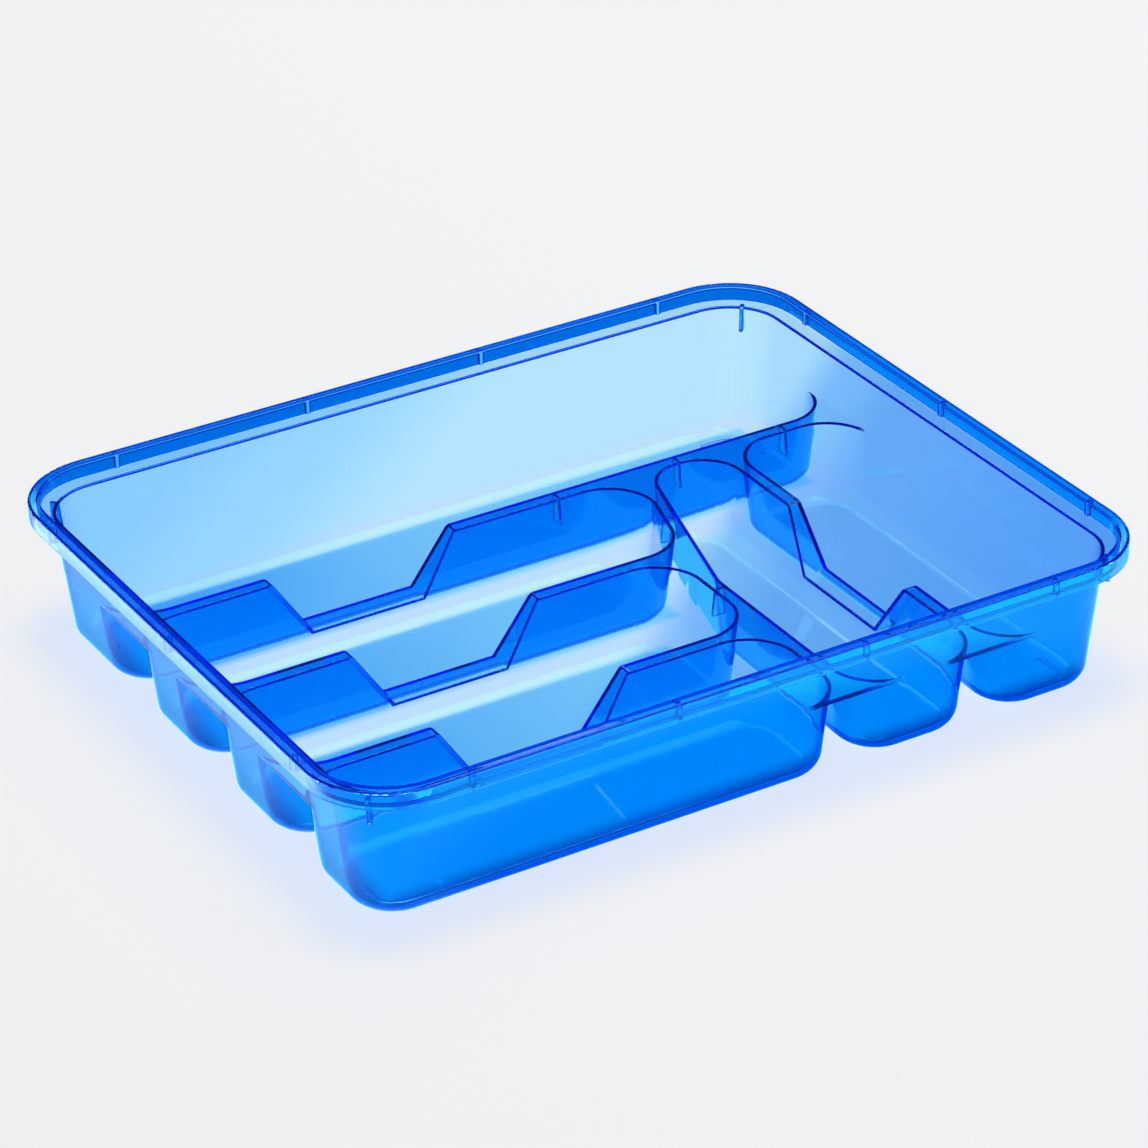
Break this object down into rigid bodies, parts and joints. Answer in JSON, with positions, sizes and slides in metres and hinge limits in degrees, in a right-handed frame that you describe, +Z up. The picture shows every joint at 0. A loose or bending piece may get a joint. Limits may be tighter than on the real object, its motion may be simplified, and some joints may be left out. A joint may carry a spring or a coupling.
{
  "type": "cutlery tray",
  "caption": "Clear blue moulded cutlery tray with rounded wells, hollow dividers with finger notches and a ribbed stacking rim.",
  "frame": {"origin": "middle of the base, on the plane the feet stand on", "axes": "+X along the tray's length to the side of the short wells, +Y to the long well at the back, +Z up"},
  "size_m": [0.4, 0.328, 0.072],
  "materials": {
    "clear_blue_plastic": "clear tinted polystyrene, polished mould"
  },
  "bodies": {
    "root": {"rim_flange": "clear_blue_plastic", "rim_skirt": "clear_blue_plastic", "stacking_ledge": "clear_blue_plastic", "upper_wall": "clear_blue_plastic", "rim_ribs": "clear_blue_plastic", "stacking_stops": "clear_blue_plastic", "well_back": "clear_blue_plastic", "well_left_rear": "clear_blue_plastic", "well_left_middle": "clear_blue_plastic", "well_left_front": "clear_blue_plastic", "well_right_inner": "clear_blue_plastic", "well_right_outer": "clear_blue_plastic", "divider_deck": "clear_blue_plastic", "notch_back": "clear_blue_plastic", "notch_rear": "clear_blue_plastic", "notch_front": "clear_blue_plastic", "notch_right": "clear_blue_plastic", "divider_gussets": "clear_blue_plastic", "corner_feet": "clear_blue_plastic"}
  },
  "joints": []
}
